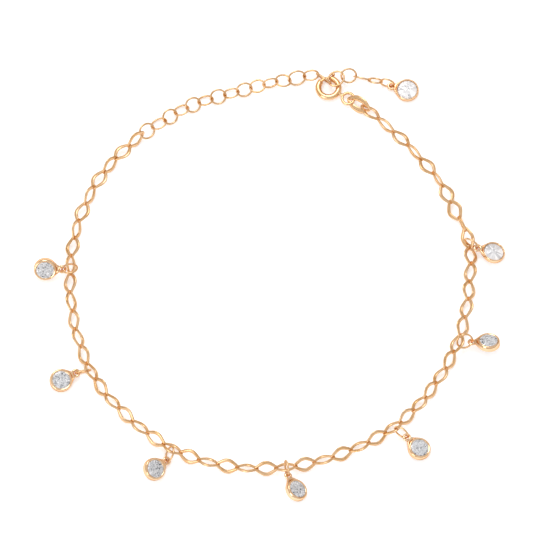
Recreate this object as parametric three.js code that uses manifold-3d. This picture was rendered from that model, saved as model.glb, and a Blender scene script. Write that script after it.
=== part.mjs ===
// Anklet of gold diamond links with seven bezel-set stone drops, a spring ring clasp hooked into a
// round-link extender chain, and an eighth drop at the extender's end. Millimetres, +Z up. It lies on
// the plane z = 0 as a closed loop, with its origin at the middle of the loop's footprint.

import * as THREE from 'three';
import { ConvexGeometry } from 'three/addons/geometries/ConvexGeometry.js';
import { mergeVertices } from 'three/addons/utils/BufferGeometryUtils.js';
import Module from 'manifold-3d';

const wasm = await Module();
wasm.setup();

// Sizes of the pieces. bandEnd and bandSide: the band's width at a link's ends and at its sides.
const DIAMOND = {
  width: 3.65, bandEnd: 0.42, bandSide: 0.6, bandThick: 0.46, squareness: 1.4, steps: 10, sides: 5,
};
const ROUND = {
  width: 3.44, bandEnd: 0.36, bandSide: 0.36, bandThick: 0.36, squareness: 2, steps: 10, sides: 5,
};
const TAG = {
  length: 6.1, width: 3.3, bandEnd: 0.44, bandSide: 0.8, bandThick: 0.4, squareness: 1.8, steps: 12,
  sides: 6,
};
const JUMP_RING = { radius: 1.62, wire: 0.17, steps: 12, sides: 5 };
const STONE = { radius: 2.05, table: 1.15, crown: 0.45, girdle: 0.1, pavilion: 1.0, facets: 8 };
const BEZEL = { radius: 2.42, height: 1.36, wall: 0.27, sides: 16 };
const BAIL = { radius: 0.67, wire: 0.2, reach: 3.5, steps: 10, sides: 5 };
const NECK = { from: 2.22, to: 2.95, wide: 1.0, narrow: 0.34, thick: 0.6, sides: 6 };
const CLASP = {
  radius: 2.15, tube: 0.575, bore: 0.44, bolt: 0.33, height: 0.82, tubeSides: 8, boltSides: 8,
};
const EYE = { radius: 1.3, wire: 0.24, reach: 4.8, bearing: -31, steps: 12, sides: 6 };

// How far neighbouring links of one chain sink into each other, so that each chain is a single body
const FUSE = 0.06;

// The routes and places below are measured from a point this far behind the footprint's middle
const FOOTPRINT_SHIFT = 0.48;

// Route of the main chain, from the clasp's tag clockwise round the ankle to the extender. A joint is
// where two links meet, counted from the tag. Where z isn't given, a joint lies as low as its links can.
const MAIN_LINKS = 54;
const MAIN_ROUTE = [
  { joint: 0, x: 19.44, y: 40.08, z: 1.5 },
  { joint: 3, x: 28.9, y: 31.1 },
  { joint: 6, x: 36.2, y: 21.9 },
  { joint: 7, x: 37.8, y: 18.4 },
  { joint: 8, x: 39.6, y: 14.7, z: 1.1 },
  { joint: 9, x: 40.9, y: 11.6, z: 3.0 },
  { joint: 10, x: 41.9, y: 7.9, z: 1.4 },
  { joint: 12, x: 41.8, y: 0.3 },
  { joint: 15, x: 39.8, y: -11.9 },
  { joint: 18, x: 34.6, y: -22.8 },
  { joint: 21, x: 27.2, y: -31.6 },
  { joint: 24, x: 16.8, y: -37.9 },
  { joint: 27, x: 5.2, y: -41.4 },
  { joint: 30, x: -7.0, y: -41.7 },
  { joint: 33, x: -18.8, y: -38.5 },
  { joint: 36, x: -28.9, y: -31.3 },
  { joint: 39, x: -36.7, y: -21.9 },
  { joint: 42, x: -40.9, y: -10.5 },
  { joint: 45, x: -42.1, y: 2.0 },
  { joint: 48, x: -40.3, y: 14.0 },
  { joint: 51, x: -35.0, y: 25.1 },
  { joint: 54, x: -27.0, y: 33.8, z: 1.38 },
];

// Route of the extender, from the main chain's last link to the end drop
const EXTENDER_LINKS = 20;
const EXTENDER_ROUTE = [
  { joint: 0, x: -27.25, y: 33.6, z: 1.6 },
  { joint: 2, x: -22.3, y: 37.1 },
  { joint: 4, x: -17.6, y: 40.0 },
  { joint: 6, x: -12.4, y: 42.0 },
  { joint: 8, x: -6.9, y: 43.5 },
  { joint: 10, x: -1.4, y: 45.0 },
  { joint: 12, x: 4.0, y: 46.2 },
  { joint: 14, x: 9.9, y: 47.3, z: 1.6 },
  { joint: 15, x: 12.5, y: 45.4, z: 1.7 },
  { joint: 16, x: 15.1, y: 47.0, z: 2.25 },
  { joint: 18, x: 20.8, y: 46.1 },
  { joint: 20, x: 25.75, y: 45.1, z: 1.63 },
];

// Roll of the links about the chain's line, in degrees: odd and even links lean opposite ways.
// Positive lifts the side towards the ankle. Between two rows the roll changes evenly.
const MAIN_ROLLS = [
  { link: 1, odd: 35, even: -78 },
  { link: 7, odd: 24, even: -88 },
  { link: 10, odd: 40, even: -47 },
  { link: 15, odd: 48, even: -38 },
  { link: 19, odd: 60, even: -38 },
  { link: 29, odd: 54, even: -42 },
  { link: 37, odd: 58, even: -40 },
  { link: 43, odd: 52, even: -50 },
  { link: 49, odd: 40, even: -60 },
  { link: 54, odd: 34, even: -66 },
];
const MAIN_TURNED = { 8: -38, 9: 86, 54: -35 };
const EXTENDER_ROLLS = [
  { link: 1, odd: -34, even: 30 },
  { link: 7, odd: -38, even: 32 },
  { link: 13, odd: -44, even: 24 },
  { link: 20, odd: -36, even: 34 },
];
const EXTENDER_TURNED = { 1: 47, 9: -50, 10: 12, 11: -78, 12: 14, 15: 78, 16: 0, 18: 68, 19: 50, 20: -84 };

// The drops. link: the link that its jump ring goes through, with the ring's place along and across it.
// swing: turn of the jump ring about the line from the bail to the link, from straight up.
// x, y: middle of the bezel. bail: bearing of the bail from there. lean, way: tilt of the upper face.
// back: the drop lies face down.
const DROPS = [
  { link: 10, along: 0.83, across: 0.48, swing: 0, x: 46.8, y: 6.9, bail: 168, lean: 17, way: 40, back: true },
  { link: 16, along: 0.34, across: -0.44, swing: 37, x: 45.7, y: -13.5, bail: 181, lean: 26.6, way: 85 },
  { link: 22, along: -0.1, across: -0.75, swing: 10, x: 31.1, y: -37.3, bail: 139, lean: 13, way: 10 },
  { link: 28, along: 0.1, across: 0.36, swing: 7, x: 5.4, y: -46.85, bail: 125.6, lean: 32, way: 14 },
  { link: 34, along: 0.56, across: 0.29, swing: 31, x: -24.3, y: -42.1, bail: 33.8, lean: 29.6, way: -21 },
  { link: 40, along: 0.37, across: 0, swing: 15, x: -43.9, y: -21.9, bail: 27.6, lean: 12.8, way: -62 },
  { link: 46, along: 0.23, across: 0.25, swing: 60, x: -47.3, y: 2.85, bail: 0.3, lean: 46.5, way: -92 },
];
const END_DROP = { x: 28.8, y: 44.05, bail: 163.4, lean: 0, way: 0, back: true };

// The clasp lies flat. Bearings in degrees, anticlockwise from +X, about the clasp's middle.
const CLASP_PLACE = { x: 12.2, y: 44.6 };
const CLASP_MOUTH = { from: 78, to: 138 };
const CLASP_BOLT = { tail: -28, tip: 146, knob: 71 };
const CLASP_SLOT_END = 4;
const CLASP_STEP = 12;

// The tag, a heavier link between the clasp's eye and the chain. reach: from the clasp's middle to the
// tag's end wire in the eye. lift: of that wire above the clasp's middle plane.
const TAG_PLACE = { reach: 4.8, lift: -0.26, roll: -41.4 };

const GOLD = { color: 0xe3a868, roughness: 0.22, metalness: 1.0 };
const DEEP_GOLD = { color: 0xd8923f, roughness: 0.25, metalness: 1.0 };
const CLEAR = { color: 0xdfe3ea, roughness: 0.05, metalness: 0.0, transparent: true, opacity: 0.5 };

const radians = THREE.MathUtils.degToRad;
const vector = (x, y, z) => new THREE.Vector3(x, y, z);

// Closed meshes to solids and back

function solidOf(geometry, matrix) {
  let bare = geometry.clone();
  bare.deleteAttribute('normal');
  bare.deleteAttribute('uv');
  bare = mergeVertices(bare, 1e-4);
  if (matrix) bare.applyMatrix4(matrix);
  return new wasm.Manifold(new wasm.Mesh({
    numProp: 3,
    vertProperties: new Float32Array(bare.attributes.position.array),
    triVerts: new Uint32Array(bare.index.array),
  }));
}

function geometryOf(solid) {
  const { vertProperties, triVerts } = solid.getMesh();
  const geometry = new THREE.BufferGeometry();
  geometry.setAttribute('position', new THREE.BufferAttribute(vertProperties, 3));
  geometry.setIndex(new THREE.BufferAttribute(triVerts, 1));
  return geometry;
}

const joined = (solids) => solids.reduce((all, next) => all.add(next));

// A round wire ring in the XY plane
function roundRing({ radius, wire, steps, sides }) {
  return new THREE.TorusGeometry(radius, wire, sides, steps);
}

// A flat link in the XY plane, long along X: a wire ring whose middle line is drawn out into a
// diamond with soft corners, or stays an oval where squareness is 2, and whose section is flattened
// to the band's width and thickness
function linkRing({ length, width, bandEnd, bandSide, bandThick, squareness, steps, sides }) {
  const unit = new THREE.TorusGeometry(1, 1, sides, steps);
  const place = unit.attributes.position;
  const reach = (length - bandEnd) / 2;
  const spread = (width - bandSide) / 2;
  const drawn = (value) => Math.sign(value) * Math.abs(value) ** (2 / squareness);
  const line = (angle) => new THREE.Vector2(reach * drawn(Math.cos(angle)), spread * drawn(Math.sin(angle)));
  for (let i = 0; i < place.count; i += 1) {
    const step = i % (steps + 1);
    const side = Math.floor(i / (steps + 1));
    const angle = (2 * Math.PI * step) / steps;
    const round = (2 * Math.PI * side) / sides + Math.PI;
    const ahead = line(angle + 0.02).sub(line(angle - 0.02)).normalize();
    const point = line(angle);
    const band = THREE.MathUtils.lerp(bandEnd, bandSide, Math.sin(angle) ** 2);
    const outward = (Math.cos(round) * band) / 2;
    const rise = (Math.sin(round) * bandThick) / 2;
    place.setXYZ(i, point.x + ahead.y * outward, point.y - ahead.x * outward, rise);
  }
  return unit;
}

// Chains

function rollAt(rows, turned, link) {
  if (turned[link] !== undefined) return radians(turned[link]);
  const key = link % 2 ? 'odd' : 'even';
  const next = rows.findIndex((row) => row.link >= link);
  if (next <= 0) return radians(rows[0][key]);
  const [before, after] = [rows[next - 1], rows[next]];
  const part = (link - before.link) / (after.link - before.link);
  return radians(THREE.MathUtils.lerp(before[key], after[key], part));
}

// The joints between links, along a smooth line through the route, each high enough for its two links
function jointsOf(route, links, rolls, shape) {
  const line = new THREE.CatmullRomCurve3(route.map(({ x, y }) => vector(x, y, 0)), false, 'centripetal');
  const ring = linkRing({ ...shape, length: shape.width });
  const half = new THREE.Box3().setFromBufferAttribute(ring.attributes.position).max;
  const need = rolls.map((roll) => half.y * Math.abs(Math.sin(roll)) + half.z * Math.abs(Math.cos(roll)));
  return Array.from({ length: links + 1 }, (_, joint) => {
    const row = Math.max(route.findIndex((next) => next.joint >= joint), 1);
    const [before, after] = [route[row - 1], route[row]];
    const part = (joint - before.joint) / (after.joint - before.joint);
    const point = line.getPoint((row - 1 + part) / (route.length - 1));
    const given = part === 1 ? after.z : undefined;
    point.z = given ?? Math.max(need[Math.max(joint - 1, 0)], need[Math.min(joint, links - 1)]);
    return point;
  });
}

// A link's place between two joints: X along the chain, Y across the link, turned by its roll
function linkPlace(start, end, roll) {
  const along = end.clone().sub(start).normalize();
  const inward = vector(along.y, -along.x, 0).normalize();
  const up = inward.clone().cross(along);
  const across = inward.multiplyScalar(Math.cos(roll)).addScaledVector(up, Math.sin(roll));
  const middle = start.clone().lerp(end, 0.5);
  return new THREE.Matrix4().makeBasis(along, across, along.clone().cross(across)).setPosition(middle);
}

// The links of a chain: each one's place, and its length from joint to joint
function chainLinks(route, links, rows, turned, shape) {
  const rolls = Array.from({ length: links }, (_, i) => rollAt(rows, turned, i + 1));
  const joints = jointsOf(route, links, rolls, shape);
  return rolls.map((roll, i) => ({
    place: linkPlace(joints[i], joints[i + 1], roll),
    pitch: joints[i].distanceTo(joints[i + 1]),
  }));
}

const chainLink = (shape) => ({ place, pitch }) =>
  solidOf(linkRing({ ...shape, length: pitch + 2 * shape.bandEnd - FUSE }), place);

// Settings and stones, in a drop's own frame: Z is the stone's axis, X points to the bail

function bezelGeometry() {
  const { radius, height, wall, sides } = BEZEL;
  const [top, bottom] = [height / 2, -height / 2];
  const inner = radius - wall;
  const seat = STONE.radius - 0.06;
  const lip = STONE.radius - 0.1;
  const girdleTop = top - STONE.crown;
  const profile = [
    [inner, bottom],
    [radius - 0.14, bottom],
    [radius, bottom + 0.2],
    [radius, top - 0.3],
    [radius - 0.1, top - 0.08],
    [radius - 0.26, top],
    [lip, top],
    [inner + 0.03, girdleTop + 0.1],
    [inner + 0.03, girdleTop - 0.22],
    [seat, girdleTop - 0.36],
    [inner, bottom],
  ];
  return new THREE.LatheGeometry(profile.map(([r, z]) => new THREE.Vector2(r, z)), sides);
}

function settingGeometry() {
  const upright = new THREE.Matrix4().makeRotationX(Math.PI / 2);
  const bezel = solidOf(bezelGeometry(), upright);
  const length = NECK.to - NECK.from;
  const neck = new THREE.CylinderGeometry(NECK.narrow, NECK.wide, length, NECK.sides);
  neck.rotateZ(-Math.PI / 2).scale(1, 1, NECK.thick).translate(NECK.from + length / 2, 0, 0);
  const bail = roundRing(BAIL).translate(BAIL.reach, 0, 0);
  return geometryOf(joined([bezel, solidOf(neck), solidOf(bail)]));
}

// Round brilliant: table, crown, girdle, pavilion and culet
function stoneGeometry() {
  const { radius, table, crown, girdle, pavilion, facets } = STONE;
  const top = BEZEL.height / 2 - 0.06;
  const points = [vector(0, 0, top - crown - girdle - pavilion)];
  for (let i = 0; i < facets; i += 1) {
    const corner = (2 * Math.PI * i) / facets;
    const between = corner + Math.PI / facets;
    points.push(vector(table * Math.cos(corner), table * Math.sin(corner), top));
    for (const bearing of [corner, between]) {
      const edge = vector(radius * Math.cos(bearing), radius * Math.sin(bearing), top - crown);
      points.push(edge, edge.clone().setZ(top - crown - girdle));
    }
  }
  return new ConvexGeometry(points);
}

// A drop's frame, with its lowest point on the plane it lies on
function dropPlace({ x, y, bail, lean, way, back }) {
  const flat = (bearing) => vector(Math.cos(radians(bearing)), Math.sin(radians(bearing)), 0);
  const upper = flat(way).multiplyScalar(Math.sin(radians(lean))).setZ(Math.cos(radians(lean)));
  const heading = flat(bail);
  const toBail = heading.addScaledVector(upper, -heading.dot(upper)).normalize();
  const axis = back ? upper.clone().negate() : upper;
  const frame = new THREE.Matrix4().makeBasis(toBail, axis.clone().cross(toBail), axis);
  const tilted = SETTING.clone().applyMatrix4(frame);
  const low = new THREE.Box3().setFromBufferAttribute(tilted.attributes.position).min.z;
  return frame.setPosition(x, y, -low);
}

// A jump ring through the bail and the chain's link
function jumpRingPlace(bail, hole, swing) {
  const chord = hole.clone().sub(bail);
  const direction = chord.clone().normalize();
  const up = vector(0, 0, 1).addScaledVector(direction, -direction.z).normalize();
  const rise = up.applyAxisAngle(direction, radians(swing));
  const offset = Math.sqrt(JUMP_RING.radius ** 2 - chord.lengthSq() / 4);
  const middle = bail.clone().lerp(hole, 0.5).addScaledVector(rise, offset);
  return new THREE.Matrix4().makeBasis(direction, rise, direction.clone().cross(rise)).setPosition(middle);
}

// Clasp, in its own frame: Z is the axis that the bolt turns about

class RingArc extends THREE.Curve {
  constructor(radius, from, to) {
    super();
    Object.assign(this, { radius, from: radians(from), to: radians(to) });
  }

  getPoint(t, target = new THREE.Vector3()) {
    const angle = THREE.MathUtils.lerp(this.from, this.to, t);
    return target.set(this.radius * Math.cos(angle), this.radius * Math.sin(angle), 0);
  }
}

function arcTube(radius, wire, sides, from, to) {
  const corners = Array.from({ length: sides }, (_, i) => {
    const angle = (2 * Math.PI * (i + 0.5)) / sides;
    return new THREE.Vector2(wire * Math.cos(angle), wire * Math.sin(angle));
  });
  const steps = Math.round((to - from) / CLASP_STEP);
  const options = { steps, extrudePath: new RingArc(radius, from, to) };
  return new THREE.ExtrudeGeometry(new THREE.Shape(corners), options);
}

function onClasp(radius, bearing) {
  return vector(radius * Math.cos(radians(bearing)), radius * Math.sin(radians(bearing)), 0);
}

function claspRingGeometry() {
  const { radius, tube, bore, tubeSides, boltSides } = CLASP;
  const [start, end] = [CLASP_MOUTH.to, CLASP_MOUTH.from + 360];
  const body = solidOf(arcTube(radius, tube, tubeSides, start, end));
  const hollow = solidOf(arcTube(radius, bore, boltSides, start - CLASP_STEP / 2, end + CLASP_STEP / 2));

  const slotHeight = 0.56;
  const slotShape = new THREE.Shape();
  slotShape.absarc(0, 0, radius + 2 * tube, radians(CLASP_SLOT_END), radians(CLASP_MOUTH.from + 2), false);
  slotShape.absarc(0, 0, radius, radians(CLASP_MOUTH.from + 2), radians(CLASP_SLOT_END), true);
  const slotOptions = { depth: slotHeight, bevelEnabled: false, curveSegments: 8 };
  const slot = new THREE.ExtrudeGeometry(slotShape, slotOptions);
  slot.translate(0, 0, -slotHeight / 2);

  const inner = radius + bore + 0.08;
  const outer = EYE.reach - EYE.radius;
  const neck = new THREE.CylinderGeometry(EYE.wire, 0.42, outer - inner, 8);
  neck.rotateZ(-Math.PI / 2).translate((inner + outer) / 2, 0, 0).rotateZ(radians(EYE.bearing));
  const eye = roundRing(EYE).rotateZ(radians(EYE.bearing)).translate(...onClasp(EYE.reach, EYE.bearing));

  const hollowed = body.subtract(hollow).subtract(solidOf(slot));
  return geometryOf(joined([hollowed, solidOf(neck), solidOf(eye)]));
}

function claspBoltGeometry() {
  const { radius, tube, bolt, boltSides } = CLASP;
  const arc = solidOf(arcTube(radius, bolt, boltSides, CLASP_BOLT.tail, CLASP_BOLT.tip));
  const stemLength = tube + 0.2;
  const stem = new THREE.CylinderGeometry(0.16, 0.16, stemLength, 8).rotateZ(-Math.PI / 2);
  stem.translate(radius + stemLength / 2, 0, 0).rotateZ(radians(CLASP_BOLT.knob));
  const knob = new THREE.IcosahedronGeometry(0.36, 1);
  knob.translate(...onClasp(radius + tube + 0.42, CLASP_BOLT.knob));
  return geometryOf(joined([arc, solidOf(stem), solidOf(knob)]));
}

// The tag's place: one end through the clasp's eye, the other round the first link
function tagPlace() {
  const { reach, lift, roll } = TAG_PLACE;
  const start = onClasp(reach, EYE.bearing).add(vector(CLASP_PLACE.x, CLASP_PLACE.y, CLASP.height + lift));
  const { x, y, z } = MAIN_ROUTE[0];
  const towards = vector(x, y, z).sub(start).normalize();
  return linkPlace(start, start.clone().addScaledVector(towards, TAG.length - TAG.bandEnd), radians(roll));
}

// Assembly

const SETTING = settingGeometry();
const STONE_CUT = stoneGeometry();
const anklet = new THREE.Group();
anklet.position.y = FOOTPRINT_SHIFT;

function add(name, geometry, finish, matrix) {
  const mesh = new THREE.Mesh(geometry, new THREE.MeshStandardMaterial(finish));
  mesh.name = name;
  if (matrix) mesh.applyMatrix4(matrix);
  anklet.add(mesh);
  return mesh;
}

const mainLinks = chainLinks(MAIN_ROUTE, MAIN_LINKS, MAIN_ROLLS, MAIN_TURNED, DIAMOND);
add('link_chain', geometryOf(joined(mainLinks.map(chainLink(DIAMOND)))), GOLD);

const extenderLinks = chainLinks(EXTENDER_ROUTE, EXTENDER_LINKS, EXTENDER_ROLLS, EXTENDER_TURNED, ROUND);
add('extender_chain', geometryOf(joined(extenderLinks.map(chainLink(ROUND)))), GOLD);

const claspPlace = new THREE.Matrix4().makeTranslation(CLASP_PLACE.x, CLASP_PLACE.y, CLASP.height);
add('clasp_ring', claspRingGeometry(), DEEP_GOLD, claspPlace);
add('clasp_bolt', claspBoltGeometry(), GOLD, claspPlace);

add('clasp_tag', linkRing(TAG), DEEP_GOLD, tagPlace());

DROPS.forEach((drop, i) => {
  const name = `drop_${i + 1}`;
  const place = dropPlace(drop);
  const bail = vector(BAIL.reach, 0, 0).applyMatrix4(place);
  const hole = vector(drop.along, drop.across, 0).applyMatrix4(mainLinks[drop.link - 1].place);
  add(`${name}_bezel`, SETTING, GOLD, place);
  add(`${name}_stone`, STONE_CUT, CLEAR, place);
  add(`${name}_jump_ring`, roundRing(JUMP_RING), GOLD, jumpRingPlace(bail, hole, drop.swing));
});

const endPlace = dropPlace(END_DROP);
add('end_drop_bezel', SETTING, GOLD, endPlace);
add('end_drop_stone', STONE_CUT, CLEAR, endPlace);

export default anklet;
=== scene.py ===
import math
from collections import namedtuple

import bpy
import numpy as np
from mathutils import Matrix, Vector


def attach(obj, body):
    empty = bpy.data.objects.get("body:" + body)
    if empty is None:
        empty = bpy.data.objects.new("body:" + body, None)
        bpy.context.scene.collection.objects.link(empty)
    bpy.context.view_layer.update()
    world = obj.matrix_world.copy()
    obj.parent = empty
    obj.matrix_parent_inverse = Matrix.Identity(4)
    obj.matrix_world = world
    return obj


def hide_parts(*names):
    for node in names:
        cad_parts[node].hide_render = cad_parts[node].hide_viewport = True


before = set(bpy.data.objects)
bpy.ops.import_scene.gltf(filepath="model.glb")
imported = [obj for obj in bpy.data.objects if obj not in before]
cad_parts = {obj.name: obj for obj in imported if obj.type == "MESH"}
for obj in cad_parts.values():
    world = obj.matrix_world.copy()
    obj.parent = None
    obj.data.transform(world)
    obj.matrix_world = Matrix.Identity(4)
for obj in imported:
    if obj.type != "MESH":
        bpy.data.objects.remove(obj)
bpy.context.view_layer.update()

# Lengths are in millimetres until a mesh is made.
MM = 0.001
UP = np.array([0, 0, 1.0])

# Sizes of the links and of the tag. band_end, band_side: the band's width at a link's ends and at its
# sides. flat: half the level stretch at the middle of a lozenge's side, as a share of its reach, or None
# for an oval link. section: shape of the band's section, 2 for an oval, more for a squarer one and less
# for a sharper one.
Link = namedtuple("Link", "width band_end band_side band_thick flat section", defaults=[2.0])
DIAMOND = Link(width=3.74, band_end=0.54, band_side=0.86, band_thick=0.46, flat=0.2, section=2.2)
ROUND = Link(width=3.44, band_end=0.42, band_side=0.42, band_thick=0.4, flat=None)
TAG = Link(width=3.6, band_end=0.5, band_side=1.3, band_thick=0.54, flat=0.3, section=1.7)
TAG_LENGTH = 6.1
LINK_CORNER = 0.6

# Sizes of the other pieces. wire: half a wire's thickness. reach: distance of a ring's middle from the
# middle of the bezel or the clasp. lip: how far the bezel's lip reaches in over the stone. corner:
# rounding of the bezel's profile.
JUMP_RING = {"radius": 1.62, "wire": 0.2}
BAIL = {"radius": 0.66, "wire": 0.28, "reach": 3.5}
BEZEL = {"radius": 2.42, "height": 1.36, "wall": 0.27, "lip": 0.2, "corner": 0.12}

# The stone's radii, heights and facets round its axis. proud: how far the table stands above the bezel.
# star: the star facets' tips, as a share of the way from the table to the edge. lower: corners of the
# facets round the culet, as a share of the radius.
STONE = {"radius": 2.05, "table": 1.5, "crown": 0.26, "girdle": 0.8, "pavilion": 0.36, "facets": 8}
STONE_POINTS = {"proud": 0.04, "star": 0.48, "lower": 0.26}

# The solder neck between bezel and bail. spread: bearing where it leaves the bezel, to either side.
# inner, end: its inner radius, and its outer one at the bail. foot, rise: half its height at the bezel
# and at the bail.
NECK = {"spread": 50, "inner": 2.25, "end": 3.05, "rise": 0.3, "foot": 0.5}

# The spring ring. tube, bore, bolt: half the thickness of each. height: of its middle above the floor.
CLASP = {"radius": 2.15, "tube": 0.62, "bore": 0.44, "bolt": 0.33, "height": 0.82}
EYE = {"radius": 1.26, "wire": 0.3, "reach": 4.8, "bearing": -31}

# The stem between them. start, past_eye: how far its ends lie outside the middles of the tube and of the
# eye's wire. root_flare, eye_flare: how much thicker than the wire it is there, to either side.
CLASP_NECK = {"start": 0.4, "past_eye": 0.05, "root_flare": 0.2, "eye_flare": 0.08}

# How far neighbouring links of one chain press into each other
FUSE = 0.02

# The routes and places below are measured from a point this far behind the footprint's middle
FOOTPRINT_SHIFT = 0.48

# Routes of the two chains. A joint is where two links meet. Where z isn't given, the joint lies as
# low as its links can.
Joint = namedtuple("Joint", "number x y z", defaults=[None])
MAIN_LINKS = 54
MAIN_ROUTE = [
    Joint(0, 19.44, 40.08, 1.5),
    Joint(3, 28.9, 31.1),
    Joint(6, 36.2, 21.9),
    Joint(7, 37.8, 18.4),
    Joint(8, 39.6, 14.7, 1.1),
    Joint(9, 40.9, 11.6, 3.0),
    Joint(10, 41.9, 7.9, 1.4),
    Joint(12, 41.8, 0.3),
    Joint(15, 39.8, -11.9),
    Joint(18, 34.6, -22.8),
    Joint(21, 27.2, -31.6),
    Joint(24, 16.8, -37.9),
    Joint(27, 5.2, -41.4),
    Joint(30, -7.0, -41.7),
    Joint(33, -18.8, -38.5),
    Joint(36, -28.9, -31.3),
    Joint(39, -36.7, -21.9),
    Joint(42, -40.9, -10.5),
    Joint(45, -42.1, 2.0),
    Joint(48, -40.3, 14.0),
    Joint(51, -35.0, 25.1),
    Joint(54, -27.0, 33.8),
]
EXTENDER_LINKS = 20
EXTENDER_ROUTE = [
    Joint(0, -27.25, 33.6, 1.75),
    Joint(2, -22.3, 37.1),
    Joint(4, -17.6, 40.0),
    Joint(6, -12.4, 42.0),
    Joint(8, -6.9, 43.5),
    Joint(10, -1.4, 45.0),
    Joint(12, 4.0, 46.2),
    Joint(14, 9.9, 47.3, 1.6),
    Joint(15, 12.5, 45.4, 1.7),
    Joint(16, 15.1, 47.0, 2.25),
    Joint(18, 20.8, 46.1),
    Joint(20, 25.75, 45.1, 1.63),
]

# Roll of the links about the chain's line, in degrees. Positive lifts the side towards the ankle.
# Between two rows the roll changes evenly, apart from the turned links, each with a roll of its own.
Roll = namedtuple("Roll", "link odd even")
MAIN_ROLLS = [
    Roll(1, 35, -78),
    Roll(7, 24, -88),
    Roll(10, 40, -47),
    Roll(15, 48, -38),
    Roll(19, 60, -38),
    Roll(29, 54, -42),
    Roll(37, 58, -40),
    Roll(43, 52, -50),
    Roll(49, 28, -66),
    Roll(54, 24, -70),
]
MAIN_TURNED = {8: -38, 9: 86}
EXTENDER_ROLLS = [Roll(1, -34, 30), Roll(7, -38, 32), Roll(13, -44, 24), Roll(20, -36, 34)]
EXTENDER_TURNED = {9: -50, 10: 12, 11: -78, 12: 14, 15: 78, 16: 0, 18: 68, 19: 50, 20: -84}

# The drops. link: the link that the jump ring goes through, with its place along and across it.
# swing: turn of the ring about the line from bail to link. x, y: middle of the bezel. bail: bearing of
# the bail from there. lean, way: tilt of the upper face, and its bearing. back: the stone's back is up.
Drop = namedtuple("Drop", "link along across swing x y bail lean way back", defaults=[False])
DROPS = [
    Drop(10, 0.83, 0.48, 0, 46.8, 6.9, 168, 17, 40, back=True),
    Drop(16, 0.34, -0.44, 37, 45.7, -13.5, 181, 26.6, 85),
    Drop(22, -0.1, -0.75, 10, 31.1, -37.3, 139, 13, 10),
    Drop(28, 0.1, 0.36, 7, 5.4, -46.85, 125.6, 32, 14),
    Drop(34, 0.56, 0.29, 31, -24.3, -42.1, 33.8, 29.6, -21),
    Drop(40, 0.37, 0.0, 15, -43.9, -21.9, 27.6, 12.8, -62),
    Drop(46, 0.23, 0.25, 60, -47.3, 2.85, 0.3, 46.5, -92),
]
END_DROP = Drop(None, 0, 0, 0, 28.8, 44.05, 163.4, 0, 0, back=True)

# The clasp lies flat. Bearings in degrees, anticlockwise from +X, about the clasp's middle. The slot's
# height is its opening in the tube's outer side, and flare widens it in the bore. The tag starts in the
# eye, at that reach and lifted that far from the clasp's middle.
CLASP_PLACE = (12.2, 44.6)
CLASP_MOUTH = (78, 138)
CLASP_BOLT = {"tail": -28, "tip": 146, "knob": 71}
CLASP_SLOT = {"start": 4, "height": 0.56, "flare": 1.3}
TAG_PLACE = {"reach": 4.8, "lift": -0.26, "roll": -41.4}

# Fineness of the meshes: points along a line, or round a section
LINK_STEPS = 64
LINK_CORNER_STEPS = 8
OVAL_STEPS = 361
BAIL_STEPS = 32
NECK_STEPS = 25
EYE_STEPS = 48
CLASP_NECK_STEPS = 8
TUBE_STEPS = 70
SLOT_STEPS = 26
BOLT_STEPS = 64
WIRE_SIDES = 14
BEZEL_SIDES = 72
TUBE_SIDES = 28
WALL_SIDES = {"outer": 26, "bore": 20}

# Where the camera looks from and at, and the width that it sees there
VIEW_ELEVATION = 68
VIEW_CENTRE = (0.92, 2.86, 0)
VIEW_WIDTH = 115.5
LENS = 1400
SENSOR = 36

# Gold plate. Its colour drifts between pale and deep, and edge is its tint at grazing angles. Scales of
# noise are to a metre.
Gold = namedtuple("Gold", "pale deep edge roughness")
GOLDS = {
    "gold": Gold((0.79, 0.54, 0.32), (0.71, 0.43, 0.2), (0.75, 0.5, 0.3), 0.28),
    "clasp_gold": Gold((0.85, 0.58, 0.34), (0.78, 0.47, 0.22), (0.75, 0.5, 0.3), 0.24),
    "bright_gold": Gold((0.9, 0.64, 0.41), (0.84, 0.55, 0.32), (0.7, 0.45, 0.28), 0.09),
}
CLOUD = {"scale": 420, "detail": 3, "deep": 0.35, "pale": 0.6}
# Painted shade: within reach of other surfaces, ambient occlusion multiplies the gold's colour by a deep
# orange tint, fully below dark and not at all above clear.
PAINTED_NOOK_SHADE = {"reach": 0.5, "tint": (1, 0.8, 0.52), "dark": 0.25, "clear": 0.85}
POLISH = {"best": 0.7, "worst": 1.5}
SCRATCH = {"scale": (9000, 1600, 1600), "detail": 2, "strength": 0.12}
BUMP_DEPTH = 0.02

# The stones' painted reflections, face up and back up: their base colour runs from dark to pale, a painted
# stand-in for the reflections in clear stone. mosaic: share of the small painted reflections in the shade,
# from 0 to 1.
StoneLook = namedtuple("StoneLook", "dark pale mosaic")
PAINTED_STONE_REFLECTIONS = {
    "clear_stone": StoneLook((0.03, 0.032, 0.04), (0.63, 0.64, 0.66), 0.86),
    "clear_stone_back": StoneLook((0.16, 0.16, 0.18), (0.88, 0.87, 0.88), 0.22),
}
# Painted glint: the colour of the whitest facets and flakes of the stones.
STONE_PAINTED_GLINT = (0.95, 0.95, 0.96)
STONE_GLOSS = {"Roughness": 0.1, "IOR": 1.9}
FLAKE_SIZE = 0.24
FLAKE_SLOPE = 0.5

# The studio. The lamps are discs, in metres and watts, and face the middle of the anklet.
Lamp = namedtuple("Lamp", "name place size power")
LAMPS = [
    Lamp("key", (-0.15, 0.5, 0.9), 0.6, 4),
    Lamp("front_box", (-0.55, -0.7, 0.45), 0.5, 2.5),
]
FLOOR = {"half": 1500, "below": 0.01, "grain": 900, "tooth": 0.05, "glow": 0.34}

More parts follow.
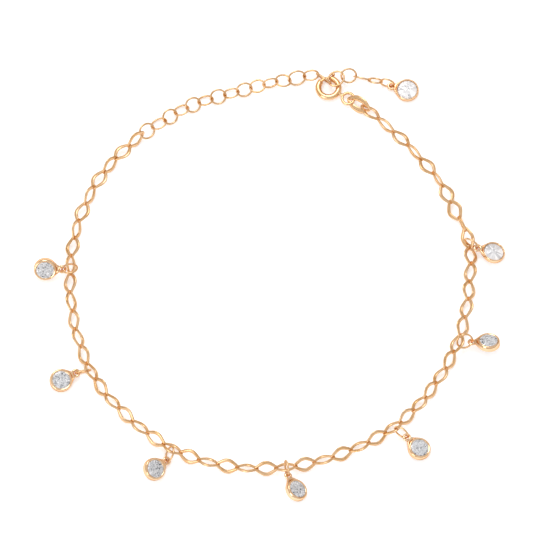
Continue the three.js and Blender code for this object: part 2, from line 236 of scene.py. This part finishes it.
# Colours of the room by height, from level upwards, with a dark band above the horizon. A height of 1
# is straight overhead. Noise moves the heights up and down by up to half of ROOM_WAVE.
ROOM = [
    (0.0, (0.85, 0.8, 0.78)),
    (0.05, (0.5, 0.38, 0.28)),
    (0.09, (0.02, 0.015, 0.01)),
    (0.13, (0.02, 0.015, 0.01)),
    (0.17, (0.55, 0.43, 0.33)),
    (0.26, (0.72, 0.62, 0.53)),
    (0.36, (0.82, 0.8, 0.78)),
    (0.55, (0.84, 0.84, 0.85)),
]
ROOM_WAVE = 0.5
ROOM_PATCHES = 2.6
ROOM_LIGHT = 0.95


# Directions and places


def unit(v):
    return v / np.linalg.norm(v)


def bearing(angle):
    """Level unit vector at that bearing, in degrees."""
    return np.array([math.cos(math.radians(angle)), math.sin(math.radians(angle)), 0.0])


def turned(v, axis, angle):
    """v turned about a unit axis by an angle in degrees."""
    a = math.radians(angle)
    return v * math.cos(a) + np.cross(axis, v) * math.sin(a) + axis * (axis @ v) * (1 - math.cos(a))


# A piece's own frame: its three axes and its origin
Place = namedtuple("Place", "x y z origin")


def placed(points, place):
    """Points of a piece's own frame, in the anklet's frame."""
    return points @ np.array([place.x, place.y, place.z]) + place.origin


# Meshes as (vertices, faces)


def merged(parts):
    vertices, faces, first = [], [], 0
    for points, polygons in parts:
        vertices.append(points)
        faces.extend([tuple(first + i for i in polygon) for polygon in polygons])
        first += len(points)
    return np.concatenate(vertices), faces


def moved(part, place):
    return placed(part[0], place), part[1]


def shifted(part, offset):
    return part[0] + offset, part[1]


def skinned(rows, closed=True, capped=False):
    """Faces over rows of points, each row a closed loop. The rows close on themselves or end in caps."""
    rows = np.asarray(rows)
    count, sides = rows.shape[:2]
    faces = []
    for i in range(count if closed else count - 1):
        for j in range(sides):
            a, b = i * sides, (i + 1) % count * sides
            faces.append((a + j, b + j, b + (j + 1) % sides, a + (j + 1) % sides))
    if capped:
        faces.append(tuple(range(sides)))
        faces.append(tuple(range((count - 1) * sides, count * sides))[::-1])
    return rows.reshape(-1, 3), faces


def oval(wide, thick, corner=2.0, sides=WIRE_SIDES):
    """Section of a wire or band: an oval, squarer with a higher corner."""
    angle = np.arange(sides) * 2 * math.pi / sides
    power = 2 / corner
    u = np.sign(np.cos(angle)) * np.abs(np.cos(angle)) ** power * wide / 2
    v = np.sign(np.sin(angle)) * np.abs(np.sin(angle)) ** power * thick / 2
    return np.stack([u, v], axis=1)


def wire_section(half, sides=WIRE_SIDES):
    """Round section, from half its thickness."""
    return oval(2 * half, 2 * half, sides=sides)


def flat_sweep(line, sections):
    """A closed level line swept by a section at each of its points: outward and up."""
    ahead = np.roll(line, -1, axis=0) - np.roll(line, 1, axis=0)
    ahead /= np.linalg.norm(ahead, axis=1, keepdims=True)
    outward = np.stack([ahead[:, 1], -ahead[:, 0]], axis=1)
    rows = []
    for point, out, section in zip(line, outward, sections):
        level = point + np.outer(section[:, 0], out)
        rows.append(np.column_stack([level, section[:, 1]]))
    return skinned(rows)


def upright_row(angle, radius, section):
    """A section (outward, up) that stands at that bearing and radius."""
    row = np.outer(radius + section[:, 0], bearing(angle))
    row[:, 2] = section[:, 1]
    return row


def lathe(profile, sides=BEZEL_SIDES):
    """A closed profile of radius and height turned about Z."""
    return skinned([upright_row(angle, 0, profile) for angle in np.arange(sides) * 360 / sides])


def stem_mesh(direction, stations):
    """A round stem along a level direction, through stations of reach and half thickness."""
    across = np.cross(UP, direction)
    rows = []
    for reach, half in stations:
        section = wire_section(half)
        rows.append(reach * direction + np.outer(section[:, 0], across) + np.outer(section[:, 1], UP))
    return skinned(rows, closed=False, capped=True)


def softened(profile, radius, steps=4):
    """A closed profile with its corners rounded, each over less than half of the sides beside it."""
    points = np.array(profile, dtype=float)
    most = 0.45
    soft = []
    for before, corner, after in zip(np.roll(points, 1, axis=0), points, np.roll(points, -1, axis=0)):
        start = corner + unit(before - corner) * min(radius, np.linalg.norm(before - corner) * most)
        end = corner + unit(after - corner) * min(radius, np.linalg.norm(after - corner) * most)
        for t in np.linspace(0, 1, steps):
            soft.append((1 - t) ** 2 * start + 2 * t * (1 - t) * corner + t ** 2 * end)
    return np.array(soft)


# Links and chains


def link_line(reach, spread, flat, steps=LINK_STEPS):
    """Middle line of a link, evenly stepped: an oval, or a lozenge with soft corners that is level
    beside its middle, for that share of its reach to either side."""
    if flat is None:
        angle = np.linspace(0, 2 * math.pi, OVAL_STEPS)
        points = np.stack([np.cos(angle), np.sin(angle)], axis=1)
    else:
        half = [(1, 0), (flat, 1), (-flat, 1)]
        lozenge = np.array(half + [(-x, -y) for x, y in half]) * [reach, spread]
        points = softened(lozenge, LINK_CORNER, LINK_CORNER_STEPS)
        points = np.concatenate([points, points[:1]])
    points = points * [reach, spread] / points.max(axis=0)
    run = np.concatenate([[0], np.cumsum(np.hypot(*np.diff(points, axis=0).T))])
    stops = np.linspace(0, run[-1], steps, endpoint=False)
    return np.stack([np.interp(stops, run, points[:, axis]) for axis in (0, 1)], axis=1)


def link_mesh(shape, length):
    """A flat link, long along X, whose band widens towards its sides."""
    reach, spread = (length - shape.band_end) / 2, (shape.width - shape.band_side) / 2
    line = link_line(reach, spread, shape.flat)
    sections = []
    for x, _ in line:
        side = 1 - min(abs(x) / reach, 1) ** 2
        wide = shape.band_end + (shape.band_side - shape.band_end) * side
        sections.append(oval(wide, shape.band_thick, corner=shape.section))
    return flat_sweep(line, sections)


def ring_mesh(radius, wire, steps=LINK_STEPS):
    angle = np.arange(steps) * 2 * math.pi / steps
    line = radius * np.stack([np.cos(angle), np.sin(angle)], axis=1)
    return flat_sweep(line, [wire_section(wire)] * steps)


def roll_at(rows, turned_links, link):
    if link in turned_links:
        return turned_links[link]
    numbers = [row.link for row in rows]
    values = [row.odd if link % 2 else row.even for row in rows]
    return float(np.interp(link, numbers, values))


def route_point(points, t):
    """Smooth curve through level points, at t from 0 to 1. The root of the distance between two points
    is their interval, so the curve stays tight where they are close."""
    last = len(points) - 1
    i = min(int(t * last), last - 1)
    w = t * last - i
    p1, p2 = points[i], points[i + 1]
    p0 = points[i - 1] if i > 0 else 2 * p1 - p2
    p3 = points[i + 2] if i + 2 <= last else 2 * p2 - p1
    d0, d1, d2 = (math.sqrt(np.linalg.norm(b - a)) for a, b in ((p0, p1), (p1, p2), (p2, p3)))
    start = ((p1 - p0) / d0 - (p2 - p0) / (d0 + d1) + (p2 - p1) / d1) * d1
    end = ((p2 - p1) / d1 - (p3 - p1) / (d1 + d2) + (p3 - p2) / d2) * d1
    square = -3 * p1 + 3 * p2 - 2 * start - end
    cube = 2 * p1 - 2 * p2 + start + end
    return p1 + start * w + square * w ** 2 + cube * w ** 3


def joints_of(route, links, rolls, shape):
    """The chain's joints. A link needs its joints high enough to keep its lower side on the floor."""
    points = np.array([[row.x, row.y] for row in route])
    lean = np.radians(rolls)
    need = shape.width / 2 * np.abs(np.sin(lean)) + shape.band_thick / 2 * np.abs(np.cos(lean))
    joints = []
    for number in range(links + 1):
        row = max(next(i for i, stop in enumerate(route) if stop.number >= number), 1)
        before, after = route[row - 1], route[row]
        part = (number - before.number) / (after.number - before.number)
        level = route_point(points, (row - 1 + part) / (len(route) - 1))
        z = max(need[max(number - 1, 0)], need[min(number, links - 1)])
        if part == 1 and after.z:
            z = after.z
        joints.append(np.array([*level, z]))
    joints[0][2] = route[0].z or joints[0][2]
    return joints


def link_place(start, end, roll):
    """X along the chain, Y across the link, turned by its roll."""
    along = unit(end - start)
    inward = unit(np.array([along[1], -along[0], 0.0]))
    up = np.cross(inward, along)
    lean = math.radians(roll)
    across = inward * math.cos(lean) + up * math.sin(lean)
    return Place(along, across, np.cross(along, across), (start + end) / 2)


def chain_mesh(route, links, rows, turned_links, shape):
    """The chain's mesh, and each link's place."""
    rolls = [roll_at(rows, turned_links, number) for number in range(1, links + 1)]
    joints = joints_of(route, links, rolls, shape)
    parts, places = [], []
    for start, end, roll in zip(joints, joints[1:], rolls):
        place = link_place(start, end, roll)
        length = np.linalg.norm(end - start) + 2 * shape.band_end - FUSE
        places.append(place)
        parts.append(moved(link_mesh(shape, length), place))
    return merged(parts), places


# Settings and stones, in a drop's own frame: Z is the stone's axis, X points to the bail


def bezel_mesh():
    """A wall round the stone. Its profile runs from the open back up the outer side, over the lip and
    down beside the stone."""
    radius, inner = BEZEL["radius"], BEZEL["radius"] - BEZEL["wall"]
    top, bottom = BEZEL["height"] / 2, -BEZEL["height"] / 2
    lip = STONE["radius"] - BEZEL["lip"]
    profile = [
        (inner, bottom + 0.12),
        (inner + 0.06, bottom),
        (radius - 0.14, bottom),
        (radius - 0.02, bottom + 0.14),
        (radius, bottom + 0.5),
        (radius - 0.03, top - 0.34),
        (radius - 0.13, top - 0.1),
        (radius - 0.28, top),
        (lip, top - 0.08),
        (lip, top - 0.3),
    ]
    return lathe(softened(profile, BEZEL["corner"]))


def neck_mesh():
    """The solder neck: its sides leave the bezel's circle as tangents and close in on the bail."""
    longest = (NECK["end"] - NECK["inner"]) / 2
    rows = []
    for angle in np.linspace(-NECK["spread"], NECK["spread"], NECK_STEPS):
        side = BEZEL["radius"] / math.cos(math.radians(NECK["spread"] - abs(angle)))
        outer = min(side, NECK["end"] / math.cos(math.radians(angle)))
        middle, half = (outer + NECK["inner"]) / 2, (outer - NECK["inner"]) / 2
        rise = NECK["foot"] + (NECK["rise"] - NECK["foot"]) * half / longest
        rows.append(upright_row(angle, middle, oval(2 * half, 2 * rise)))
    return skinned(rows, closed=False, capped=True)


def setting_mesh():
    bail = ring_mesh(BAIL["radius"], BAIL["wire"], BAIL_STEPS)
    return merged([bezel_mesh(), neck_mesh(), shifted(bail, [BAIL["reach"], 0, 0])])


def stone_mesh():
    """A brilliant: table, star, kite and girdle facets above; kites and girdle facets below."""
    radius, table, count = STONE["radius"], STONE["table"], STONE["facets"]
    top = BEZEL["height"] / 2 + STONE_POINTS["proud"]
    edge = top - STONE["crown"]
    below = edge - STONE["girdle"]
    culet = below - STONE["pavilion"]
    half = math.cos(math.pi / count)
    star = table + (radius - table) * STONE_POINTS["star"]
    star_z = top - (star * half - table) * STONE["crown"] / (radius - table)
    deep = radius * STONE_POINTS["lower"]
    deep_z = culet + deep * half / radius * STONE["pavilion"]

    def ring(r, z, corners, offset=0.0):
        angle = (np.arange(corners) + offset) * 2 * math.pi / corners
        return [(r * math.cos(a), r * math.sin(a), z) for a in angle]

    vertices = [
        *ring(table, top, count),
        *ring(star, star_z, count, 0.5),
        *ring(radius, edge, 2 * count),
        *ring(radius, below, 2 * count),
        *ring(deep, deep_z, count, 0.5),
        (0, 0, culet),
    ]
    tables, stars = range(count), range(count, 2 * count)
    upper, lower = range(2 * count, 4 * count), range(4 * count, 6 * count)
    deeps, tip = range(6 * count, 7 * count), 7 * count
    faces = [tuple(tables)]
    for i in range(count):
        after, corner, between, later = (i + 1) % count, 2 * i, 2 * i + 1, (2 * i + 2) % (2 * count)
        faces.append((tables[i], stars[i], tables[after]))
        faces.append((tables[i], stars[i - 1], upper[corner], stars[i]))
        faces.append((stars[i], upper[corner], upper[between]))
        faces.append((stars[i], upper[between], upper[later]))
        faces.append((upper[corner], lower[corner], lower[between], upper[between]))
        faces.append((upper[between], lower[between], lower[later], upper[later]))
        faces.append((lower[corner], deeps[i], lower[between]))
        faces.append((lower[between], deeps[i], lower[later]))
        faces.append((deeps[i - 1], tip, deeps[i], lower[corner]))
    return np.array(vertices), faces


def drop_place(drop, setting):
    """The drop's frame, with its lowest point on the floor."""
    upper = bearing(drop.way) * math.sin(math.radians(drop.lean))
    upper[2] = math.cos(math.radians(drop.lean))
    heading = bearing(drop.bail)
    to_bail = unit(heading - upper * (heading @ upper))
    axis = -upper if drop.back else upper
    place = Place(to_bail, np.cross(axis, to_bail), axis, np.array([drop.x, drop.y, 0.0]))
    lowest = placed(setting[0], place)[:, 2].min()
    return place._replace(origin=place.origin - UP * lowest)


def jump_ring_place(bail, hole, swing):
    """The ring runs through both points. It stands up from them, turned by its swing."""
    chord = hole - bail
    direction = unit(chord)
    rise = turned(unit(UP - direction * direction[2]), direction, swing)
    offset = math.sqrt(JUMP_RING["radius"] ** 2 - (chord @ chord) / 4)
    return Place(direction, rise, np.cross(direction, rise), (bail + hole) / 2 + rise * offset)


# Clasp, in its own frame: Z is the axis that the bolt turns about


def arc_sweep(section, start, end, steps, capped=True):
    """A section (outward, up) swept round the clasp's circle between two bearings."""
    rows = [upright_row(angle, CLASP["radius"], section) for angle in np.linspace(start, end, steps)]
    return skinned(rows, closed=False, capped=capped)


def tube_end(sections, angle):
    """The flat rim between a hollow tube's two sections, at a bearing on the clasp's circle."""
    return skinned([upright_row(angle, CLASP["radius"], section) for section in sections], closed=False)


def slotted_section():
    """Section of the clasp's tube where its outer side is slotted."""
    gap = math.degrees(math.asin(CLASP_SLOT["height"] / 2 / CLASP["tube"]))
    bore_gap = gap * CLASP_SLOT["flare"]
    outer = np.radians(np.linspace(gap, 360 - gap, WALL_SIDES["outer"]))
    inner = np.radians(np.linspace(360 - bore_gap, bore_gap, WALL_SIDES["bore"]))
    rim = CLASP["tube"] * np.stack([np.cos(outer), np.sin(outer)], axis=1)
    bore = CLASP["bore"] * np.stack([np.cos(inner), np.sin(inner)], axis=1)
    return np.concatenate([rim, bore])


def clasp_neck_mesh():
    """Stem between the tube and the eye, thicker towards both."""
    root = CLASP["radius"] + CLASP_NECK["start"]
    tip = EYE["reach"] - EYE["radius"] + CLASP_NECK["past_eye"]
    stations = []
    for t in np.linspace(0, 1, CLASP_NECK_STEPS):
        flare = CLASP_NECK["root_flare"] * (1 - t) ** 2 + CLASP_NECK["eye_flare"] * t ** 4
        stations.append((root + (tip - root) * t, EYE["wire"] + flare))
    return stem_mesh(bearing(EYE["bearing"]), stations)


def clasp_ring_mesh():
    """The hollow tube, slotted from slot_start to the mouth, with its neck and its eye."""
    mouth_start, mouth_end = CLASP_MOUTH
    slot_start = CLASP_SLOT["start"] + 360
    tube = wire_section(CLASP["tube"], TUBE_SIDES)
    bore = wire_section(CLASP["bore"], TUBE_SIDES)
    eye = ring_mesh(EYE["radius"], EYE["wire"], EYE_STEPS)
    return merged([
        arc_sweep(tube, mouth_end, slot_start, TUBE_STEPS, capped=False),
        arc_sweep(bore[::-1], mouth_end, slot_start, TUBE_STEPS, capped=False),
        tube_end([tube, bore], mouth_end),
        tube_end([tube, bore], slot_start),
        arc_sweep(slotted_section(), slot_start, mouth_start + 360, SLOT_STEPS),
        clasp_neck_mesh(),
        shifted(eye, EYE["reach"] * bearing(EYE["bearing"])),
    ])


def clasp_bolt_mesh():
    """The bolt's arc, and its knob: distance out from the arc and half thickness of stem and button."""
    knob = [
        (0.0, 0.16),
        (0.74, 0.16),
        (0.76, 0.3),
        (0.84, 0.36),
        (1.12, 0.37),
        (1.26, 0.3),
        (1.32, 0.12),
    ]
    stations = [(CLASP["radius"] + out, half) for out, half in knob]
    arc = arc_sweep(wire_section(CLASP["bolt"]), CLASP_BOLT["tail"], CLASP_BOLT["tip"], BOLT_STEPS)
    return merged([arc, stem_mesh(bearing(CLASP_BOLT["knob"]), stations)])


def tag_place():
    """One end of the tag is in the clasp's eye, the other holds the first link."""
    height = CLASP["height"] + TAG_PLACE["lift"]
    start = TAG_PLACE["reach"] * bearing(EYE["bearing"]) + [*CLASP_PLACE, height]
    first = MAIN_ROUTE[0]
    towards = unit(np.array([first.x, first.y, first.z]) - start)
    return link_place(start, start + towards * (TAG_LENGTH - TAG.band_end), TAG_PLACE["roll"])


# Materials


def shader_of(name):
    """A new material, its node tree and its shader."""
    material = bpy.data.materials.new(name)
    material.use_nodes = True
    return material, material.node_tree, material.node_tree.nodes["Principled BSDF"]


def fill(tree, node, inputs):
    """Each input gets a value, or a link where the output of another node is given."""
    for name, value in inputs.items():
        if isinstance(value, bpy.types.NodeSocket):
            tree.links.new(value, node.inputs[name])
        else:
            node.inputs[name].default_value = value


def add_node(tree, kind, inputs, **settings):
    """A shader node with its settings and inputs."""
    node = tree.nodes.new(f"ShaderNode{kind}")
    for name, value in settings.items():
        setattr(node, name, value)
    fill(tree, node, inputs)
    return node


def add_ramp(tree, value, stops):
    """Colour ramp through rows of position and colour."""
    node = add_node(tree, "ValToRGB", {"Fac": value})
    elements = node.color_ramp.elements
    for element, (position, colour) in enumerate([stops[0], stops[-1]]):
        elements[element].position = position
        elements[element].color = (*colour, 1)
    for position, colour in stops[1:-1]:
        elements.new(position).color = (*colour, 1)
    return node.outputs["Color"]


def add_bump(tree, height, strength):
    inputs = {"Height": height, "Strength": strength, "Distance": BUMP_DEPTH * MM}
    return add_node(tree, "Bump", inputs).outputs["Normal"]


def gold_material(name, look):
    """Polished gold plate: cloudy changes of colour and polish, painted shade in its nooks, where ambient
    occlusion darkens the colour towards deep orange, and hairline scratches.
    """
    material, tree, shader = shader_of(name)
    place = add_node(tree, "TexCoord", {}).outputs["Object"]
    clouds = {"Vector": place, "Scale": CLOUD["scale"], "Detail": CLOUD["detail"]}
    cloud = add_node(tree, "TexNoise", clouds).outputs["Fac"]
    # Painted shade: ambient occlusion darkens the colour in nooks and between parts.
    painted_nook_shade = add_node(tree, "AmbientOcclusion", {"Distance": PAINTED_NOOK_SHADE["reach"] * MM}).outputs["AO"]
    colours = {
        "Fac": 1,
        "Color1": add_ramp(tree, cloud, [(CLOUD["deep"], look.deep), (CLOUD["pale"], look.pale)]),
        "Color2": add_ramp(tree, painted_nook_shade, [(PAINTED_NOOK_SHADE["dark"], PAINTED_NOOK_SHADE["tint"]), (PAINTED_NOOK_SHADE["clear"], (1, 1, 1))]),
    }
    best, worst = look.roughness * POLISH["best"], look.roughness * POLISH["worst"]
    polish = {"Value": cloud, "To Min": best, "To Max": worst}
    stretch = add_node(tree, "Mapping", {"Vector": place, "Scale": SCRATCH["scale"]}).outputs["Vector"]
    scratches = {"Vector": stretch, "Scale": 1, "Detail": SCRATCH["detail"]}
    scratch = add_node(tree, "TexNoise", scratches).outputs["Fac"]
    fill(tree, shader, {
        "Base Color": add_node(tree, "MixRGB", colours, blend_type="MULTIPLY").outputs["Color"],
        "Roughness": add_node(tree, "MapRange", polish).outputs["Result"],
        "Normal": add_bump(tree, scratch, SCRATCH["strength"]),
        "Metallic": 1,
        "Specular Tint": (*look.edge, 1),
    })
    return material


def stone_material(name, look):
    """Clear cut stone with painted reflections: its facets, and the mosaic of small reflections inside it,
    each get their own painted shade, from dark through pale to white, in the base colour, and the mosaic's
    have their own slope."""
    material, tree, shader = shader_of(name)
    place = add_node(tree, "TexCoord", {}).outputs["Object"]
    surface = add_node(tree, "NewGeometry", {}).outputs
    flake = add_node(tree, "TexVoronoi", {"Vector": place, "Scale": 1 / (FLAKE_SIZE * MM)}).outputs["Color"]
    fleck = add_node(tree, "SeparateColor", {"Color": flake}).outputs["Red"]
    facet = add_node(tree, "TexWhiteNoise", {"Vector": surface["True Normal"]}).outputs["Value"]
    shade = add_node(tree, "Mix", {"Factor": look.mosaic, "A": facet, "B": fleck}).outputs["Result"]

    def between(part):
        return tuple(a + (b - a) * part for a, b in zip(look.dark, look.pale))

    # Painted reflections: the shade picks a colour from near black through pale grey to a white glint.
    stops = [(0.06, look.dark), (0.16, between(0.5)), (0.5, between(0.85)), (0.85, between(1.15))]
    tint = add_ramp(tree, shade, [*stops, (0.95, STONE_PAINTED_GLINT)])

    tilt = {0: flake, 1: [FLAKE_SLOPE] * 3, 2: surface["Normal"]}
    tilted = add_node(tree, "VectorMath", tilt, operation="MULTIPLY_ADD").outputs["Vector"]
    centre = {0: tilted, 1: [FLAKE_SLOPE / 2] * 3}
    centred = add_node(tree, "VectorMath", centre, operation="SUBTRACT").outputs["Vector"]
    normal = add_node(tree, "VectorMath", {0: centred}, operation="NORMALIZE").outputs["Vector"]
    fill(tree, shader, {"Base Color": tint, "Normal": normal, **STONE_GLOSS})
    return material


def floor_material():
    """Matt white card with a faint tooth."""
    material, tree, shader = shader_of("white_card")
    place = add_node(tree, "TexCoord", {}).outputs["Object"]
    grain = add_node(tree, "TexNoise", {"Vector": place, "Scale": FLOOR["grain"]}).outputs["Fac"]
    fill(tree, shader, {
        "Normal": add_bump(tree, grain, FLOOR["tooth"]),
        "Base Color": (0.88, 0.88, 0.89, 1),
        "Emission Color": (1, 1, 1, 1),
        "Emission Strength": FLOOR["glow"],
        "Roughness": 0.9,
    })
    return material


# Objects


def make_object(name, part, material, smooth=True):
    vertices, faces = part
    mesh = bpy.data.meshes.new(name)
    mesh.from_pydata((vertices * MM).tolist(), [], faces)
    mesh.validate()
    if smooth:
        mesh.shade_smooth()
    mesh.materials.append(material)
    mesh.update()
    thing = bpy.data.objects.new(name, mesh)
    bpy.context.scene.collection.objects.link(thing)
    return thing


def add_piece(name, part, material, nodes, body="anklet", smooth=True):
    """A piece of the anklet, on its body, in place of the nodes."""
    piece = make_object(name, shifted(part, [0, FOOTPRINT_SHIFT, 0]), material, smooth)
    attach(piece, body)
    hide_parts(*nodes)


def facing(direction):
    """Rotation of a lamp or camera that looks in that direction, upright."""
    return Vector([float(value) for value in direction]).to_track_quat("-Z", "Y").to_euler()


def add_lamp(lamp):
    light = bpy.data.lights.new(lamp.name, "AREA")
    light.shape = "DISK"
    light.size = lamp.size
    light.energy = lamp.power
    thing = bpy.data.objects.new(lamp.name, light)
    bpy.context.scene.collection.objects.link(thing)
    thing.location = lamp.place
    thing.rotation_euler = facing(-np.array(lamp.place))


def add_camera():
    data = bpy.data.cameras.new("camera")
    camera = bpy.data.objects.new("camera", data)
    bpy.context.scene.collection.objects.link(camera)
    data.sensor_width = SENSOR
    data.lens = LENS
    distance = VIEW_WIDTH * MM * LENS / SENSOR
    lift = math.radians(VIEW_ELEVATION)
    back = np.array([0, -math.cos(lift), math.sin(lift)])
    camera.location = np.array(VIEW_CENTRE) * MM + back * distance
    camera.rotation_euler = facing(-back)
    data.clip_end = 2 * distance
    bpy.context.scene.camera = camera


def add_floor():
    square = [(-1, -1), (1, -1), (1, 1), (-1, 1)]
    corners = np.array([(x * FLOOR["half"], y * FLOOR["half"], -FLOOR["below"]) for x, y in square])
    make_object("floor", (corners, [(0, 1, 2, 3)]), floor_material())


def add_room():
    """The light of the room, which the polished metal reflects."""
    world = bpy.data.worlds.new("studio")
    bpy.context.scene.world = world
    world.use_nodes = True
    tree = world.node_tree
    place = add_node(tree, "TexCoord", {}).outputs["Generated"]
    height = add_node(tree, "SeparateXYZ", {"Vector": place}).outputs["Z"]
    patches = add_node(tree, "TexNoise", {"Vector": place, "Scale": ROOM_PATCHES}).outputs["Fac"]
    wave = {0: patches, 1: ROOM_WAVE, 2: height}
    waved = add_node(tree, "Math", wave, operation="MULTIPLY_ADD").outputs["Value"]
    centre = {0: waved, 1: ROOM_WAVE / 2}
    centred = add_node(tree, "Math", centre, operation="SUBTRACT").outputs["Value"]
    light = {"Color": add_ramp(tree, centred, ROOM), "Strength": ROOM_LIGHT}
    fill(tree, tree.nodes["Background"], light)


def add_studio():
    add_floor()
    for lamp in LAMPS:
        add_lamp(lamp)
    add_room()
    view = bpy.context.scene.view_settings
    view.view_transform = "Standard"
    view.look = "None"


def add_chains(golds):
    """Both chains. The drops hang on the main chain's links, whose places are returned."""
    chain, links = chain_mesh(MAIN_ROUTE, MAIN_LINKS, MAIN_ROLLS, MAIN_TURNED, DIAMOND)
    add_piece("diamond_chain", chain, golds["gold"], ["link_chain"])
    extender, _ = chain_mesh(EXTENDER_ROUTE, EXTENDER_LINKS, EXTENDER_ROLLS, EXTENDER_TURNED, ROUND)
    add_piece("round_link_extender", extender, golds["gold"], ["extender_chain"])
    return links


def add_clasp(golds):
    gold = golds["clasp_gold"]
    clasp = Place(*np.eye(3), np.array([*CLASP_PLACE, CLASP["height"]]))
    add_piece("spring_ring", moved(clasp_ring_mesh(), clasp), gold, ["clasp_ring"])
    add_piece("spring_ring_bolt", moved(clasp_bolt_mesh(), clasp), gold, ["clasp_bolt"], body="bolt")
    add_piece("end_tag", moved(link_mesh(TAG, TAG_LENGTH), tag_place()), gold, ["clasp_tag"])


def add_drops(golds, looks, links):
    setting, stone = setting_mesh(), stone_mesh()
    named = [(f"drop_{number}", drop) for number, drop in enumerate(DROPS, 1)]
    for name, drop in [*named, ("end_drop", END_DROP)]:
        place = drop_place(drop, setting)
        add_piece(f"{name}_setting", moved(setting, place), golds["bright_gold"], [f"{name}_bezel"])
        look = looks["clear_stone_back" if drop.back else "clear_stone"]
        brilliant = f"{name}_brilliant"
        add_piece(brilliant, moved(stone, place), look, [f"{name}_stone"], smooth=False)
        if drop.link:
            bail = placed(np.array([BAIL["reach"], 0, 0]), place)
            hole = placed(np.array([drop.along, drop.across, 0]), links[drop.link - 1])
            ring = moved(ring_mesh(**JUMP_RING), jump_ring_place(bail, hole, drop.swing))
            add_piece(f"{name}_ring", ring, golds["gold"], [f"{name}_jump_ring"])


def add_anklet():
    golds = {name: gold_material(name, look) for name, look in GOLDS.items()}
    looks = {name: stone_material(name, look) for name, look in PAINTED_STONE_REFLECTIONS.items()}
    links = add_chains(golds)
    add_clasp(golds)
    add_drops(golds, looks, links)


add_camera()
add_studio()
add_anklet()
